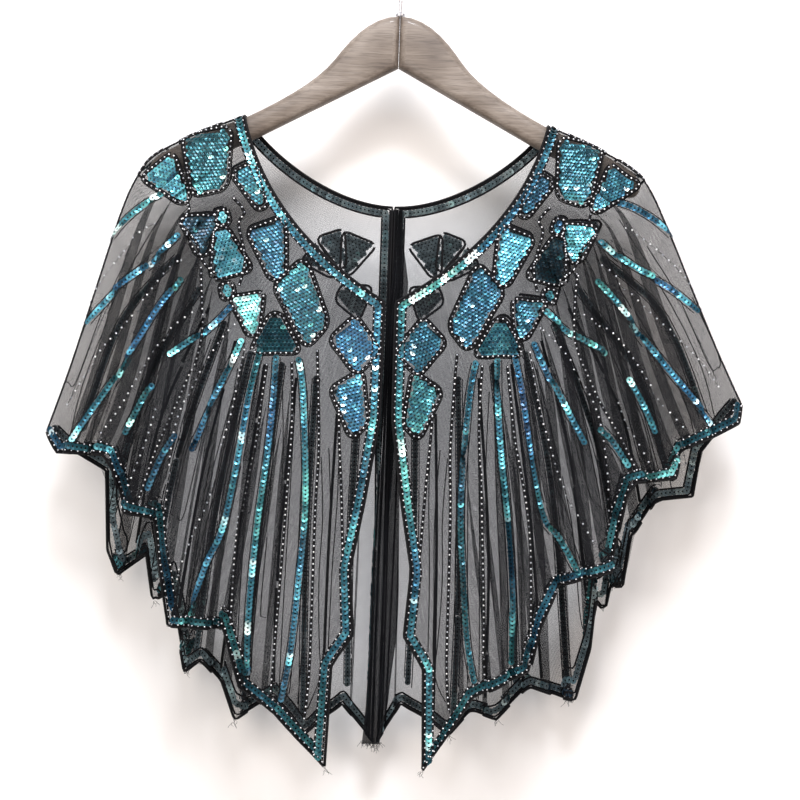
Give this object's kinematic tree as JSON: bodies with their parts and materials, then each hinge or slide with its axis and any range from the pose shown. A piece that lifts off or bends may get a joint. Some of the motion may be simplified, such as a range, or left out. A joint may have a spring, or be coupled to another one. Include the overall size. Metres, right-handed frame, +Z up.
{
  "type": "capelet on a hanger",
  "caption": "Sheer net capelet with an open front, V neck and pointed hem, embroidered with sequin petals and rays, hung on a wooden hanger with a steel hook.",
  "frame": {"origin": "inside top of the hook, where it hangs on a rod or peg", "axes": "+Z up, -Y out of the garment's front, +X to the right of someone who looks at the front"},
  "size_m": [0.5559, 0.0781, 0.6673],
  "materials": {
    "net": "sheer black net with turquoise sequins and silver beads",
    "wood": "grey-brown stain under satin lacquer",
    "steel": "bright"
  },
  "bodies": {
    "root": {"front_left": "net", "front_right": "net", "back_left": "net", "back_right": "net", "hanger_arm_left": "wood", "hanger_arm_right": "wood", "hook": "steel", "hook_collar": "steel"}
  },
  "joints": []
}
